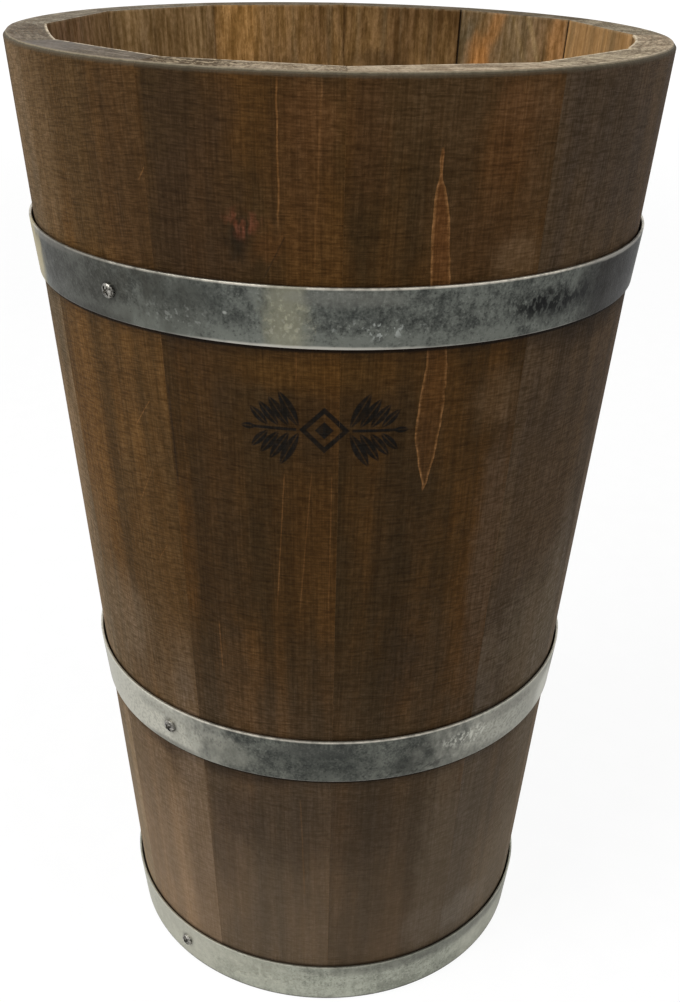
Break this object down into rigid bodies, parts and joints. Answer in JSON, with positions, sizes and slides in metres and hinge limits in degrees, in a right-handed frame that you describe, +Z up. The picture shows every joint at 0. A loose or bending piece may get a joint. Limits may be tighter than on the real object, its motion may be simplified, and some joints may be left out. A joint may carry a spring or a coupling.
{
  "type": "wooden barrel planter",
  "caption": "Round tapered wooden tub of coopered staves with a boarded floor, bound by riveted steel hoops, open at the top to hold soil or a potted plant.",
  "frame": {"origin": "centre of the tub's foot circle, on the surface that the tub stands on", "axes": "+Z up along the tub's axis; -Y is the front that the picture shows; +X is to the right of the front"},
  "size_m": [0.3496, 0.3496, 0.574],
  "materials": {
    "stave_wood": "dark stained, matt, with the grain and fine saw lines showing",
    "head_wood": "unstained, planed, weathered",
    "dowel_wood": "unstained hardwood",
    "hoop_steel": "dull galvanised strip with a mottled grey patina",
    "rivet_steel": "dull galvanised",
    "screw_steel": "zinc plated, worn"
  },
  "bodies": {
    "root": {"stave_01": "stave_wood", "stave_02": "stave_wood", "stave_03": "stave_wood", "stave_04": "stave_wood", "stave_05": "stave_wood", "stave_06": "stave_wood", "stave_07": "stave_wood", "stave_08": "stave_wood", "stave_09": "stave_wood", "stave_10": "stave_wood", "stave_11": "stave_wood", "stave_12": "stave_wood", "head_board_front": "head_wood", "head_board_middle": "head_wood", "head_board_back": "head_wood", "head_dowels": "dowel_wood", "top_hoop": "hoop_steel", "middle_hoop": "hoop_steel", "bottom_hoop": "hoop_steel", "top_hoop_rivets": "rivet_steel", "middle_hoop_rivets": "rivet_steel", "bottom_hoop_rivets": "rivet_steel", "top_hoop_screws": "screw_steel", "middle_hoop_screws": "screw_steel", "bottom_hoop_screws": "screw_steel"}
  },
  "joints": []
}
